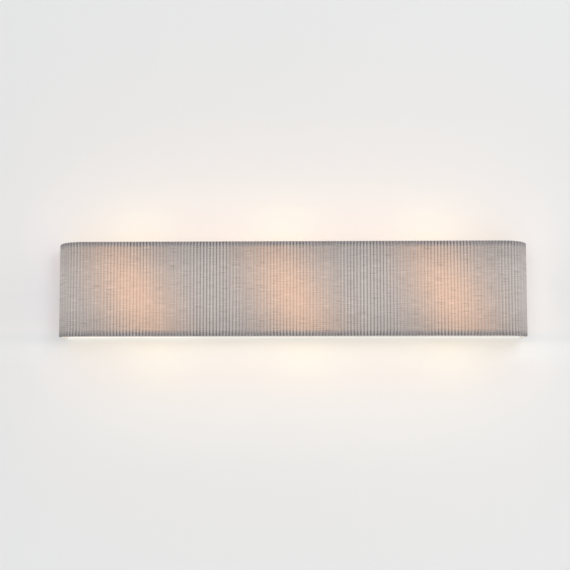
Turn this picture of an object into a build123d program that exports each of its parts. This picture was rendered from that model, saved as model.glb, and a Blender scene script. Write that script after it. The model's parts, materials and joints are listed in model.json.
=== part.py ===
from build123d import *
from math import cos, pi, radians, sin, sqrt, tan
import os

os.makedirs("parts", exist_ok=True)

# A long wall light with a pleated fabric shade. All lengths are in millimetres.
# The origin is the middle of the wall face: X runs along the wall, Y points into
# it and Z points up, so the front of the light faces -Y.

# ---- shade, measured over the ribs of its pleats
shade_width = 900.0
shade_height = 180.0
shade_depth = 100.0  # from the wall
shade_corner = 54.0  # radius of the two upright corners
shade_wall_gap = 1.0  # from the wall to the back edge of the fabric

# ---- layers of the shade, from the outside in
pleat_pitch = 6.3
pleat_rise = 3.0  # from the groove to the top of a rib
fabric_thickness = 0.8  # at a groove
bond_gap = 0.05  # between two layers that are bonded
liner_thickness = 0.5
ring_thickness = 1.2
ring_height = 8.0
ring_inset = 0.6  # from the fabric's edge to the edge of the ring and the liner
hem_thickness = 0.5
rail_flange = 16.0  # width of the rail's leg on the back plate
rail_leg = 15.0  # depth of the rail's leg on the side of the shade
rail_bend = 1.0

# ---- back plate, a folded pan
plate_recess = 2.0  # from the shade's top and bottom edges to the plate's
plate_depth = 8.0
plate_sheet = 1.2
plate_corner = 4.0
plate_bend = 1.8
plate_side_clearance = 1.0  # to the liner
rail_clearance = 0.2  # between the rail and the plate

# ---- wall screws, in dished seats that reach the wall
wall_screw_spacing = 280.0
wall_screw_hole = 5.5
dish_seat = 15.0
dish_mouth = 30.0

# ---- thumb screws, inserts and locating pins, on the line of the rail's flange
thumb_shank = 4.0
thumb_head = 12.0
thumb_head_length = 8.0
thumb_collar = 8.0
thumb_collar_length = 2.0
thumb_reach = 5.6  # of the shank past the front of the plate
thumb_fit = 0.1
insert_body = 8.0
insert_spigot = 6.0
insert_length = 5.0
pin_diameter = 3.5
pin_reach = 6.0  # in front of the plate
pin_spacing = 110.0
pin_fit = 0.3

# ---- lamps
lamp_end_margin = 140.0  # from the end of the shade to the middle of the end bay
globe_shift = 18.0  # of the globe's centre, towards -X from the middle of its bay
globe_drop = 3.0  # of the globe's centre under the middle of the shade
lamp_tilt = 20.0  # degrees that the tip points down from the level
globe_diameter = 60.0
glass_thickness = 1.0
neck_diameter = 24.6
neck_distance = 44.0  # from the globe's centre to the start of the straight neck
neck_end = 50.5
cap_diameter = 26.0
cap_sheet = 0.4
cap_start = 48.5
cap_shoulder = 69.0
cap_end = 72.0
cap_opening = 14.0
tip_fit = 0.1
tip_flange = 18.0
tip_flange_start = 66.5
tip_flange_thickness = 2.0
tip_button = 9.6
tip_button_start = 74.0
tip_end = 76.0
stem_diameter = 6.0
stem_end = 8.0
stem_clearance = 0.2  # between the flare and the neck
flare_length = 6.0
flare_thickness = 2.0
filament_collar = 1.0
filament_diameter = 1.6
filament_length = 32.0
filament_circle = 14.0

# ---- lampholders, along the lamp's axis from the globe's centre
shell_fit = 0.1
shell_sheet = 0.5
shell_start = 50.5
shell_end = 75.0
core_fit = 0.1
core_diameter = 32.4
core_start = 50.0
core_floor = 79.0
core_floor_thickness = 7.0
holder_fit = 0.2
holder_wall = 3.1
holder_mouth = 48.0
holder_shoulder = 88.0
holder_back = 98.0
holder_back_diameter = 24.0
contact_width = 6.0
contact_sheet = 0.6
contact_gap = 0.2
nipple_diameter = 10.0
nipple_bore = 7.0
nipple_reach_in = 5.0  # into the holder
nipple_reach_out = 6.5  # out of the bracket
nipple_fit = 0.1
nut_across_flats = 14.0
nut_thickness = 3.0

# ---- brackets
bracket_sheet = 1.5
bracket_width = 30.0
bracket_foot = 25.0
bracket_bend = 1.5
bracket_overhang = 17.0  # past the lamp's axis
bracket_corner = 13.0
bracket_foot_corner = 4.0
bracket_screw_spacing = 16.0
bracket_screw_shank = 4.0
bracket_screw_head = 8.0
bracket_screw_head_height = 2.6
bracket_screw_reach = 5.0  # behind the front of the plate
screw_fit = 0.1

# ---- connectors, leads and entry
lead_diameter = 4.0
core_wire_diameter = 1.8
lead_clearance = 0.3
lead_line = 70.0  # height of the clipped run over the middle of the light
lead_exit = 14.0  # from the nipple's end to the first bend
lead_split = 13.0  # from the connectors to where the two cores come out
lead_rise = 38.0  # from the ports to where a lead leaves the plate
connector_ports = 4
port_pitch = 5.8
port_diameter = 2.4
port_funnel = 3.8
port_funnel_depth = 1.6
port_depth = 9.0
window_width = 2.6  # of the small window over each port's spring
window_depth = 0.8
window_height = 4.0
window_rise = 5.0  # of its middle from the foot of the connector
connector_end = 3.3  # from the last port's middle to the end of the connector
connector_length = 20.0
connector_depth = 8.0
connector_gap = 0.6  # between the two connectors, and under the lower one
connector_top = -8.0  # height of the ports' face
cradle_wall = 1.4
cradle_screw = 3.0
cradle_screw_head = 6.0
cradle_screw_head_height = 2.2
cradle_screw_reach = 4.5  # behind the front of the plate
cradle_fit = 0.2
cradle_cheek = 4.5  # height of the tray's walls beside the connectors
cradle_foot = 12.0
cradle_foot_reach = 12.0
entry_offset = 43.0  # from the connectors' middle towards +X
entry_height = -30.0
grommet_bore = 10.0
grommet_groove = 18.0
grommet_flange = 25.0
grommet_lip = 2.4
earth_height = 10.0
earth_stud = 4.0
earth_stud_reach = 12.0
earth_washer = 9.0
earth_washer_thickness = 0.8
earth_nut = 7.0
earth_nut_thickness = 3.2
clip_width = 9.0
clip_length = 10.0
clip_wall = 1.5
clip_edge = 2.5  # radius of its two front edges
clip_slack = 0.2  # round the lead
clip_pitch = 95.0
clip_after_holder = 90.0  # from the left holder's back to the first clip
clip_before_holder = 20.0  # from the last clip to the right holder's back
clip_from_ports = 45.0  # from the ports to the clip on either side

# ---- places worked out from the sizes
plate_front = -plate_depth
fabric_inside = pleat_rise + fabric_thickness  # depths under the rib tops, from here
liner_outside = fabric_inside + bond_gap
liner_inside = liner_outside + liner_thickness
ring_outside = liner_inside + bond_gap
ring_inside = ring_outside + ring_thickness
hem_outside = ring_inside + bond_gap
hem_inside = hem_outside + hem_thickness
rail_back = plate_front - rail_clearance
plate_width = shade_width - 2 * (liner_inside + plate_side_clearance)
plate_height = shade_height - 2 * plate_recess
ring_top = shade_height / 2 - ring_inset
flange_line = shade_width / 2 - ring_inside - rail_flange / 2
globe_radius = globe_diameter / 2
lamp_y = (plate_front - shade_depth + hem_inside) / 2
lamp_spacing = shade_width / 2 - lamp_end_margin
lamp_bays = {"left": -lamp_spacing, "middle": 0.0, "right": lamp_spacing}
bracket_front = lamp_y - bracket_overhang
foot_middle = holder_back + bracket_sheet + bracket_bend + (bracket_foot - bracket_sheet - bracket_bend) / 2
lead_y = plate_front - lead_clearance - lead_diameter / 2
connector_middle = (lamp_spacing + lamp_bays["middle"]) / 2 + port_pitch * connector_ports
connector_lower = plate_front - cradle_wall - connector_gap
connector_upper = connector_lower - connector_depth - connector_gap


def save(name, shape):
    # writes one named piece, or one group of equal pieces
    export_step(shape, f"parts/{name}.step")


def group(solids):
    return Compound(children=list(solids))


def turned(*corners):
    # a solid of revolution about X, from (along, radius) corners
    return revolve(make_face(Polyline(*corners, close=True)), Axis.X)


def rod(start, end, diameter):
    # a round bar between two points
    line = Vector(*end) - Vector(*start)
    return extrude(Plane(origin=start, z_dir=line) * Circle(diameter / 2), amount=line.length)


def bar_y(x, z, front, back, diameter):
    # a round bar that points at the wall
    return rod((x, front, z), (x, back, z), diameter)


# ---------------------------------------------------------------- shade

def u_line(inset, back):
    # the U of the shade in plan, at a depth under the rib tops
    half = shade_width / 2 - inset
    front = -(shade_depth - inset)
    corners = [(-half, back), (-half, front), (half, front), (half, back)]
    return FilletPolyline(*corners, radius=shade_corner - inset)


def u_wall(outside, inside, back, bottom, height):
    # an upright wall that follows the U
    outer = u_line(outside, back)
    inner = u_line(inside, back)
    ends = Line(outer @ 0, inner @ 0) + Line(outer @ 1, inner @ 1)
    return Pos(0, 0, bottom) * extrude(make_face(outer + inner + ends), amount=height)


def u_point(length, inset):
    # the point over the groove line at a length along it, at a depth under the rib tops
    radius = shade_corner - pleat_rise
    side = shade_depth - shade_wall_gap - shade_corner
    arc = radius * pi / 2
    front = shade_width - 2 * shade_corner
    half = shade_width / 2
    if length > side + arc + front / 2:
        x, y = u_point(2 * (side + arc) + front - length, inset)
        return -x, y
    if length <= side:
        return -(half - inset), -shade_wall_gap - length
    if length <= side + arc:
        turn = (length - side) / radius
        reach = shade_corner - inset
        return -(half - shade_corner) - reach * cos(turn), shade_corner - shade_depth - reach * sin(turn)
    return -(half - shade_corner) + (length - side - arc), -(shade_depth - inset)


def pleated_fabric():
    # one sheet with upright ribs, round outside and smooth where it meets the liner
    side = shade_depth - shade_wall_gap - shade_corner
    total = 2 * side + (shade_corner - pleat_rise) * pi + shade_width - 2 * shade_corner
    count = round(total / pleat_pitch)
    pitch = total / count
    ribs = Curve()
    for rib in range(count):
        start = u_point(rib * pitch, pleat_rise)
        top = u_point((rib + 0.5) * pitch, 0)
        end = u_point((rib + 1) * pitch, pleat_rise)
        ribs += ThreePointArc(start, top, end)
    inner = u_line(fabric_inside, -shade_wall_gap)
    first = Line(u_point(0, pleat_rise), inner @ 0)
    last = Line(u_point(total, pleat_rise), inner @ 1)
    outline = make_face(ribs.edges() + inner.edges() + [first.edge(), last.edge()])
    return Pos(0, 0, -shade_height / 2) * extrude(outline, amount=shade_height)


def liner():
    height = shade_height - 2 * ring_inset
    return u_wall(liner_outside, liner_inside, -shade_wall_gap, -height / 2, height)


def ring(bottom):
    return u_wall(ring_outside, ring_inside, rail_back, bottom, ring_height)


def hem(edge):
    # a tape round the edge: a strip inside the ring and a lip over the ring and the liner
    lip_height = ring_inset - bond_gap
    strip_height = ring_height + ring_inset
    strip_bottom = shade_height / 2 - strip_height
    lip_bottom = shade_height / 2 - lip_height
    strip = u_wall(hem_outside, hem_inside, rail_back, strip_bottom, strip_height)
    lip = u_wall(liner_outside, hem_inside, rail_back, lip_bottom, lip_height)
    top = strip + lip
    return top if edge == "top" else mirror(top, about=Plane.XY)


def rail(side):
    # an L in plan: one leg on the side of the shade, one flange on the back plate
    out = shade_width / 2 - ring_outside
    leg_in = shade_width / 2 - ring_inside
    flange_in = leg_in - rail_flange
    sheet_front = rail_back - ring_thickness
    corners = [
        (out, rail_back),
        (out, rail_back - rail_leg),
        (leg_in, rail_back - rail_leg),
        (leg_in, sheet_front),
        (flange_in, sheet_front),
        (flange_in, rail_back),
    ]
    height = 2 * (ring_top - ring_height - bond_gap)
    body = extrude(make_face(Polyline(*corners, close=True)), amount=height / 2, both=True)
    bend = body.edges().filter_by(Axis.Z).sort_by_distance((out, rail_back, 0))[0]
    body = fillet(bend, rail_bend)
    body -= bar_y(flange_line, 0, sheet_front - 1, rail_back + 1, thumb_shank + 2 * thumb_fit)
    for height in (-pin_spacing / 2, pin_spacing / 2):
        body -= bar_y(flange_line, height, sheet_front - 1, rail_back + 1, pin_diameter + 2 * pin_fit)
    return body if side == "right" else mirror(body, about=Plane.YZ)


def thumb_screw():
    # turned about Y, with the seat of its collar on the front of the rail's flange
    seat = rail_back - ring_thickness - bond_gap
    tip = plate_front + thumb_reach
    collar_front = seat - thumb_collar_length
    head_front = collar_front - thumb_head_length
    chamfer = 0.8
    corners = [
        (tip, 0),
        (tip, thumb_shank / 2 - 0.4),
        (tip - 0.4, thumb_shank / 2),
        (seat, thumb_shank / 2),
        (seat, thumb_collar / 2),
        (collar_front, thumb_collar / 2),
        (collar_front, thumb_head / 2 - chamfer),
        (collar_front - chamfer, thumb_head / 2),
        (head_front + chamfer, thumb_head / 2),
        (head_front, thumb_head / 2 - chamfer),
        (head_front, 0),
    ]
    return Rot(0, 0, 90) * turned(*corners)


# ---------------------------------------------------------------- back plate

def pan(width, height, depth, corner, bend):
    # a block with rounded upright corners and a rounded front edge, its back on the wall
    outline = Plane.XZ * RectangleRounded(width, height, corner)
    block = extrude(outline, amount=depth)
    front = block.faces().sort_by(Axis.Y)[0]
    return fillet(front.edges(), bend)


def wall_dish(x):
    # the seat of a wall screw, pressed back from the plate to the wall
    seat = dish_seat / 2
    mouth = dish_mouth / 2
    hole = wall_screw_hole / 2
    corners = [
        (0, hole),
        (0, seat),
        (plate_front + plate_sheet, mouth + plate_sheet),
        (plate_front, mouth + plate_sheet),
        (plate_front, mouth),
        (-plate_sheet, seat - plate_sheet / 2),
        (-plate_sheet, hole),
    ]
    return Pos(x, 0, 0) * Rot(0, 0, 90) * turned(*corners)


def back_plate():
    inner_width = plate_width - 2 * plate_sheet
    inner_height = plate_height - 2 * plate_sheet
    inner_depth = plate_depth - plate_sheet
    plate = pan(plate_width, plate_height, plate_depth, plate_corner, plate_bend)
    plate -= pan(inner_width, inner_height, inner_depth, plate_corner - plate_sheet, plate_bend - plate_sheet)
    for x in (-wall_screw_spacing / 2, wall_screw_spacing / 2):
        plate -= bar_y(x, 0, plate_front - 1, 1, dish_mouth + 2 * plate_sheet)
        plate += wall_dish(x)
    for side in (-1, 1):
        plate -= bar_y(side * flange_line, 0, plate_front - 1, 0, insert_spigot)
        for height in (-pin_spacing / 2, pin_spacing / 2):
            plate -= bar_y(side * flange_line, height, plate_front - 1, 0, pin_diameter)
    for x, z in bracket_screw_places():
        plate -= bar_y(x, z, plate_front - 1, 0, bracket_screw_shank + 2 * screw_fit)
    plate -= bar_y(entry_x, entry_height, plate_front - 1, 0, grommet_groove)
    plate -= bar_y(entry_x, earth_height, plate_front - 1, 0, earth_stud)
    plate -= bar_y(connector_middle, cradle_screw_height, plate_front - 1, 0, cradle_screw + 2 * screw_fit)
    return plate


def screw_insert(x):
    # a clinched insert: a spigot in the plate and a threaded body behind it
    back = plate_front + plate_sheet
    bore = thumb_shank / 2 + thumb_fit
    corners = [
        (plate_front, bore),
        (plate_front, insert_spigot / 2),
        (back, insert_spigot / 2),
        (back, insert_body / 2),
        (back + insert_length, insert_body / 2),
        (back + insert_length, bore),
    ]
    return Pos(x, 0, 0) * Rot(0, 0, 90) * turned(*corners)


def locating_pin(x, z):
    front = plate_front - pin_reach
    pin = bar_y(x, z, front, plate_front + plate_sheet, pin_diameter)
    return chamfer(pin.faces().sort_by(Axis.Y)[0].edges(), 0.6)


# ---------------------------------------------------------------- lamp, about X from the globe's centre

def bulb_arcs(inset):
    # the globe and its concave neck as tangent arcs, at a depth under the glass's surface
    neck = neck_diameter / 2
    rise = (neck_distance**2 + neck**2 - globe_radius**2) / (2 * (globe_radius - neck))
    centre = Vector(neck_distance, neck + rise)
    radius = globe_radius - inset
    outward = centre.normalized()
    meet = outward * radius
    middle = Vector(-sqrt((1 - outward.X) / 2), sqrt((1 + outward.X) / 2)) * radius
    neck_start = Vector(neck_distance, neck - inset)
    halfway = ((meet - centre).normalized() + Vector(0, -1)).normalized()
    globe = ThreePointArc((-radius, 0), (middle.X, middle.Y), (meet.X, meet.Y))
    bend = centre + halfway * (rise + inset)
    flare = ThreePointArc((meet.X, meet.Y), (bend.X, bend.Y), (neck_start.X, neck_start.Y))
    straight = Line((neck_start.X, neck_start.Y), (neck_end, neck - inset))
    return globe + flare + straight


def bulb_glass():
    outer = bulb_arcs(0)
    inner = bulb_arcs(glass_thickness)
    neck = neck_diameter / 2
    top = Line((-globe_radius, 0), (-globe_radius + glass_thickness, 0))
    rim = Line((neck_end, neck), (neck_end, neck - glass_thickness))
    return revolve(make_face(outer + inner + top + rim), Axis.X)


def bulb_cap():
    out = cap_diameter / 2
    hole = cap_opening / 2
    return turned(
        (cap_start, out - cap_sheet),
        (cap_start, out),
        (cap_shoulder, out),
        (cap_end, hole + cap_sheet),
        (cap_end, hole),
        (cap_end - cap_sheet, hole),
        (cap_shoulder - cap_sheet, out - cap_sheet),
    )


def bulb_tip():
    # insulator and contact: a flange inside the cap, a neck through its opening, a button
    neck = cap_opening / 2 - tip_fit
    flange_end = tip_flange_start + tip_flange_thickness
    return turned(
        (tip_flange_start, 0),
        (tip_flange_start, tip_flange / 2),
        (flange_end, tip_flange / 2),
        (flange_end, neck),
        (cap_end + 0.3, neck),
        (tip_button_start, tip_button / 2),
        (tip_end - 0.5, tip_button / 2),
        (tip_end, tip_button / 2 - 1.2),
        (tip_end, 0),
    )


def filament():
    # a glass stem with a flare in the neck, and four straight filaments round its end
    flare = neck_diameter / 2 - glass_thickness - stem_clearance
    flare_start = neck_end - flare_thickness
    rim = filament_circle / 2 + filament_diameter
    root = stem_end + filament_collar / 2
    stem = turned(
        (stem_end, 0),
        (stem_end, stem_diameter / 2),
        (flare_start - flare_length, stem_diameter / 2),
        (flare_start, flare),
        (neck_end, flare),
        (neck_end, 0),
    )
    collar = turned(
        (stem_end, 0),
        (stem_end, rim),
        (stem_end + filament_collar, rim),
        (stem_end + filament_collar, 0),
    )
    body = stem + collar
    for quarter in range(4):
        angle = radians(45 + 90 * quarter)
        y = cos(angle) * filament_circle / 2
        z = sin(angle) * filament_circle / 2
        body += rod((root, y, z), (root - filament_length, y, z), filament_diameter)
    return body


# ---------------------------------------------------------------- lampholder, on the same axis

def screw_shell():
    bore = cap_diameter / 2 + shell_fit
    return turned(
        (shell_start, bore),
        (shell_start, bore + shell_sheet),
        (shell_end, bore + shell_sheet),
        (shell_end, bore),
    )


def holder_core():
    bore = cap_diameter / 2 + shell_fit + shell_sheet + core_fit
    out = core_diameter / 2
    end = core_floor + core_floor_thickness
    return turned((core_start, bore), (core_start, out), (end, out), (end, 0), (core_floor, 0), (core_floor, bore))


def centre_contact():
    # a sprung strip: its foot on the core's floor, its tongue under the lamp's contact
    foot = core_floor - bond_gap
    tongue = tip_end + contact_gap
    corners = [
        (foot, -10),
        (foot, -3),
        (tongue + contact_sheet, 1),
        (tongue + contact_sheet, 4),
        (tongue, 4),
        (tongue, 1 - contact_sheet / 2),
        (foot - contact_sheet, -3 - contact_sheet / 2),
        (foot - contact_sheet, -10),
    ]
    profile = Plane.XZ * make_face(Polyline(*corners, close=True))
    return extrude(profile, amount=contact_width / 2, both=True)


def holder_body():
    inside = core_diameter / 2 + holder_fit
    out = inside + holder_wall
    back_in = holder_back_diameter / 2 - 1
    hole = nipple_diameter / 2 + nipple_fit
    edge = 1.0
    return turned(
        (holder_mouth, inside),
        (holder_mouth, out - edge),
        (holder_mouth + edge, out),
        (holder_shoulder - 6, out),
        (holder_shoulder, out - 1.2),
        (holder_back - 3, holder_back_diameter / 2 + 2.5),
        (holder_back, holder_back_diameter / 2),
        (holder_back, hole),
        (holder_back - nipple_reach_in, hole),
        (holder_back - nipple_reach_in, back_in),
        (holder_shoulder - 1, inside),
    )


def nipple():
    start = holder_back - nipple_reach_in
    end = holder_back + bracket_sheet + nipple_reach_out
    hole = nipple_bore / 2
    out = nipple_diameter / 2
    return turned((start, hole), (start, out), (end, out), (end, hole))


def locknut():
    start = holder_back + bracket_sheet
    flats = RegularPolygon(nut_across_flats / 2, 6, major_radius=False)
    outline = flats - Circle(nipple_diameter / 2 + nipple_fit)
    return Pos(start, 0, 0) * extrude(Plane.YZ * outline, amount=nut_thickness)


def bracket():
    # an L: the upright across the lamp's axis, the foot on the plate
    plate = plate_front - lamp_y  # the plate's front, from the lamp's axis
    start = holder_back
    sheet = bracket_sheet
    end = bracket_front - lamp_y
    bend = bracket_bend
    outside = Line((start, end), (start, plate - bend - sheet))
    outside += RadiusArc((start, plate - bend - sheet), (start + bend + sheet, plate), bend + sheet)
    outside += Line((start + bend + sheet, plate), (start + bracket_foot, plate))
    outside += Line((start + bracket_foot, plate), (start + bracket_foot, plate - sheet))
    outside += Line((start + bracket_foot, plate - sheet), (start + sheet + bend, plate - sheet))
    outside += RadiusArc((start + sheet + bend, plate - sheet), (start + sheet, plate - sheet - bend), -bend)
    outside += Line((start + sheet, plate - sheet - bend), (start + sheet, end))
    outside += Line((start + sheet, end), (start, end))
    body = extrude(make_face(outside), amount=bracket_width / 2, both=True)
    upright = body.edges().filter_by(Axis.X).sort_by(Axis.Y)[:2]
    body = fillet(upright, bracket_corner)
    foot = body.edges().filter_by(Axis.Y).sort_by(Axis.X)[-2:]
    body = fillet(foot, bracket_foot_corner)
    body -= rod((start - 1, 0, 0), (start + sheet + 1, 0, 0), nipple_diameter + 2 * nipple_fit)
    for up in (-bracket_screw_spacing / 2, bracket_screw_spacing / 2):
        hole = bracket_screw_shank + 2 * screw_fit
        body -= rod((foot_middle, plate - sheet - 1, up), (foot_middle, plate + 1, up), hole)
    return body


def bracket_screw():
    # a pan head on the foot and a shank through the foot and the plate, along Y
    seat = plate_front - bracket_sheet
    top = seat - bracket_screw_head_height
    tip = plate_front + bracket_screw_reach
    return Rot(0, 0, 90) * turned(
        (tip, 0),
        (tip, bracket_screw_shank / 2),
        (seat, bracket_screw_shank / 2),
        (seat, bracket_screw_head / 2),
        (top + 1.0, bracket_screw_head / 2),
        (top, bracket_screw_head / 2 - 1.2),
        (top, 0),
    )


def lamp_frame(bay):
    # where a lamp's own frame stands in the light
    return Pos(lamp_bays[bay] - globe_shift, lamp_y, -globe_drop) * Rot(0, -lamp_tilt, 0)


def lamp_point(bay, along, up=0.0):
    # a point given along and across a lamp's axis, as (x, z) in the light
    turn = radians(lamp_tilt)
    x = lamp_bays[bay] - globe_shift + along * cos(turn) - up * sin(turn)
    return x, -globe_drop + along * sin(turn) + up * cos(turn)


def bracket_screw_places():
    return [
        lamp_point(bay, foot_middle, up)
        for bay in lamp_bays
        for up in (-bracket_screw_spacing / 2, bracket_screw_spacing / 2)
    ]


# ---------------------------------------------------------------- connectors and entry

entry_x = connector_middle + entry_offset
connector_width = port_pitch * (connector_ports - 1) + 2 * connector_end
cradle_low = connector_top - connector_length - cradle_fit - cradle_wall
cradle_screw_height = cradle_low - cradle_foot_reach / 2


def port_x(number):
    return connector_middle + (number - (connector_ports - 1) / 2) * port_pitch


def connector(back):
    # a push-in connector, its ports in a row on its top face
    front = back - connector_depth
    middle = (front + back) / 2
    size = (connector_width, connector_depth, connector_length)
    body = Pos(connector_middle, middle, connector_top - connector_length / 2) * Box(*size)
    body = fillet(body.edges().filter_by(Axis.Z), 1.0)
    for number in range(connector_ports):
        place = Pos(port_x(number), middle, connector_top)
        body -= place * Pos(0, 0, -port_depth / 2) * Cylinder(port_diameter / 2, port_depth)
        body -= place * Pos(0, 0, -port_funnel_depth / 2) * Cone(
            port_diameter / 2, port_funnel / 2, port_funnel_depth
        )
        window = Box(window_width, 2 * window_depth, window_height)
        body -= place * Pos(0, -connector_depth / 2, window_rise - connector_length) * window
    return body


def connector_cradle():
    # a tray under and beside the two connectors, with a foot for its screw
    deep = plate_front - (connector_upper - connector_depth)
    wide = connector_width + 2 * (cradle_wall + cradle_fit)
    low = cradle_low
    tall = connector_length
    middle = plate_front - deep / 2
    block = Pos(connector_middle, middle, low + tall / 2) * Box(wide, deep, tall)
    room = Box(wide - 2 * cradle_wall, deep, tall)
    block -= Pos(connector_middle, middle - cradle_wall, low + cradle_wall + tall / 2) * room
    cut = Box(wide + 2, deep, tall)
    block -= Pos(connector_middle, middle - cradle_wall, low + cradle_wall + cradle_cheek + tall / 2) * cut
    foot = Box(cradle_foot, cradle_wall, cradle_foot_reach)
    block += Pos(connector_middle, plate_front - cradle_wall / 2, low - cradle_foot_reach / 2) * foot
    front = plate_front - cradle_wall
    hole = cradle_screw + 2 * screw_fit
    return block - bar_y(connector_middle, cradle_screw_height, front - 1, plate_front + 1, hole)


def cradle_screw_piece():
    seat = plate_front - cradle_wall
    top = seat - cradle_screw_head_height
    tip = plate_front + cradle_screw_reach
    screw = Rot(0, 0, 90) * turned(
        (tip, 0),
        (tip, cradle_screw / 2),
        (seat, cradle_screw / 2),
        (seat, cradle_screw_head / 2),
        (top + 0.8, cradle_screw_head / 2),
        (top, cradle_screw_head / 2 - 0.9),
        (top, 0),
    )
    return Pos(connector_middle, 0, cradle_screw_height) * screw


def grommet():
    back = plate_front + plate_sheet
    bore = grommet_bore / 2
    groove = grommet_groove / 2
    flange = grommet_flange / 2
    return Pos(entry_x, 0, entry_height) * Rot(0, 0, 90) * turned(
        (plate_front - grommet_lip, bore),
        (plate_front - grommet_lip, flange - 1.2),
        (plate_front - grommet_lip + 1.2, flange),
        (plate_front, flange),
        (plate_front, groove),
        (back, groove),
        (back, flange),
        (back + grommet_lip - 1.2, flange),
        (back + grommet_lip, flange - 1.2),
        (back + grommet_lip, bore),
    )


def earth_terminal():
    # a stud clinched in the plate, with a washer and a nut on it
    front = plate_front - earth_stud_reach
    back = plate_front + plate_sheet
    stud = bar_y(entry_x, earth_height, front, back, earth_stud)
    stud += bar_y(entry_x, earth_height, back, back + 1.5, earth_nut)
    washer_front = plate_front - earth_washer_thickness
    washer = bar_y(entry_x, earth_height, washer_front, plate_front, earth_washer)
    washer -= bar_y(entry_x, earth_height, washer_front - 1, plate_front + 1, earth_stud + 2 * screw_fit)
    flats = RegularPolygon(earth_nut / 2, 6, major_radius=False) - Circle(earth_stud / 2 + screw_fit)
    nut = extrude(Plane.XZ * flats, amount=earth_nut_thickness)
    nut = Pos(entry_x, washer_front, earth_height) * nut
    return group([stud.solid(), washer.solid(), nut.solid()])


# ---------------------------------------------------------------- leads

def tube(name, points, diameter):
    # a bent round wire: straight runs joined by arcs as large as the runs allow
    corners = [Vector(*point) for point in points]
    radii = []
    for before, corner, after in zip(corners, corners[1:], corners[2:]):
        turn = radians((corner - before).get_angle(after - corner))
        shorter = min((corner - before).length, (after - corner).length)
        radii.append(0.45 * shorter / tan(turn / 2))
    path = FilletPolyline(*corners, radius=radii) if radii else Line(corners[0], corners[-1])
    start = Plane(origin=corners[0], z_dir=corners[1] - corners[0])
    wire = sweep(start * Circle(diameter / 2), path=path)
    share = wire.volume / (pi * (diameter / 2) ** 2 * path.length)
    shown = ", ".join(f"{radius:.0f}" for radius in radii)
    print(f"{name}: length {path.length:.0f}, radii {shown}, volume share {share:.4f}")
    return wire.solid()


def lead(bay):
    # from the lampholder's core to the connectors, clipped along the plate, then its two cores
    number = {"middle": 0, "left": 1, "right": 2}[bay]
    port = port_x(number)
    start = core_floor + core_floor_thickness + bond_gap
    turn = holder_back + bracket_sheet + nipple_reach_out + lead_exit
    rise_y = (connector_lower + connector_upper - connector_depth) / 2
    first = lamp_point(bay, start)
    out = lamp_point(bay, turn)
    drop = connector_top + lead_rise
    route = [(first[0], lamp_y, first[1]), (out[0], lamp_y, out[1])]
    if bay == "middle":
        route += [(out[0] + 10, lead_y, out[1] + 5), (port - 20, lead_y, out[1] + 9)]
        route += [(port, lead_y, drop + 2)]
    elif bay == "left":
        route += [(out[0] + 12, lead_y, out[1] + 7), (out[0] + 40, lead_y, lead_line)]
        route += [(port - 1, lead_y, lead_line), (port, lead_y, drop)]
    else:
        route += [(out[0] + 8, lead_y, out[1] + 6), (out[0] - 6, lead_y, lead_line)]
        route += [(port + 1, lead_y, lead_line), (port, lead_y, drop)]
    sleeve_end = connector_top + lead_split
    route += [(port, rise_y, drop - 15), (port, rise_y, sleeve_end)]
    sleeve = tube(f"lead_{bay}", route, lead_diameter)
    cores = []
    for back in (connector_lower, connector_upper):
        level = back - connector_depth / 2
        side = core_wire_diameter / 2 + 0.1 if level > rise_y else -core_wire_diameter / 2 - 0.1
        points = [
            (port, rise_y + side, sleeve_end),
            (port, rise_y + side, sleeve_end - 4),
            (port, level, connector_top + 3),
            (port, level, connector_top - 6),
        ]
        cores.append(tube(f"lead_{bay} core", points, core_wire_diameter))
    return group([sleeve] + cores)


def lead_clip(x):
    # a saddle stuck to the plate, with the lead through it
    front = lead_y - lead_diameter / 2 - clip_wall
    middle = (front + plate_front) / 2
    body = Pos(x, middle, lead_line) * Box(clip_length, plate_front - front, clip_width)
    body = fillet(body.edges().filter_by(Axis.X).sort_by(Axis.Y)[:2], clip_edge)
    hole = lead_diameter + 2 * clip_slack
    return body - rod((x - clip_length, lead_y, lead_line), (x + clip_length, lead_y, lead_line), hole)


def clip_places():
    # evenly along the left lead's run and the right lead's
    left_start = lamp_point("left", holder_back)[0] + clip_after_holder
    right_end = lamp_point("right", holder_back)[0] - clip_before_holder
    left_end = port_x(1) - clip_from_ports
    right_start = port_x(2) + clip_from_ports
    places = []
    for start, end in ((left_start, left_end), (right_start, right_end)):
        count = max(2, round((end - start) / clip_pitch) + 1)
        places += [start + (end - start) * number / (count - 1) for number in range(count)]
    return places


# ---------------------------------------------------------------- writing the pieces

save("pleated_fabric", pleated_fabric())
save("liner", liner())
save("top_ring", ring(ring_top - ring_height))
save("bottom_ring", ring(-ring_top))
save("top_hem", hem("top"))
save("bottom_hem", hem("bottom"))
for side, x in (("left", -flange_line), ("right", flange_line)):
    save(f"{side}_rail", rail(side))
    save(f"{side}_thumb_screw", Pos(x, 0, 0) * thumb_screw())

save("back_plate", back_plate())
save("screw_inserts", group(screw_insert(side * flange_line).solid() for side in (-1, 1)))
pin_places = [(side * flange_line, end * pin_spacing / 2) for side in (-1, 1) for end in (-1, 1)]
save("locating_pins", group(locating_pin(x, z).solid() for x, z in pin_places))
save("grommet", grommet())
save("earth_terminal", earth_terminal())
save("live_connector", connector(connector_lower))
save("neutral_connector", connector(connector_upper))
save("connector_cradle", connector_cradle())
save("cradle_screw", cradle_screw_piece())
save("bracket_screws", group((Pos(x, 0, z) * bracket_screw()).solid() for x, z in bracket_screw_places()))
save("holder_nipples", group((lamp_frame(bay) * nipple()).solid() for bay in lamp_bays))
save("holder_locknuts", group((lamp_frame(bay) * locknut()).solid() for bay in lamp_bays))
save("lead_clips", group(lead_clip(x).solid() for x in clip_places()))

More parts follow.
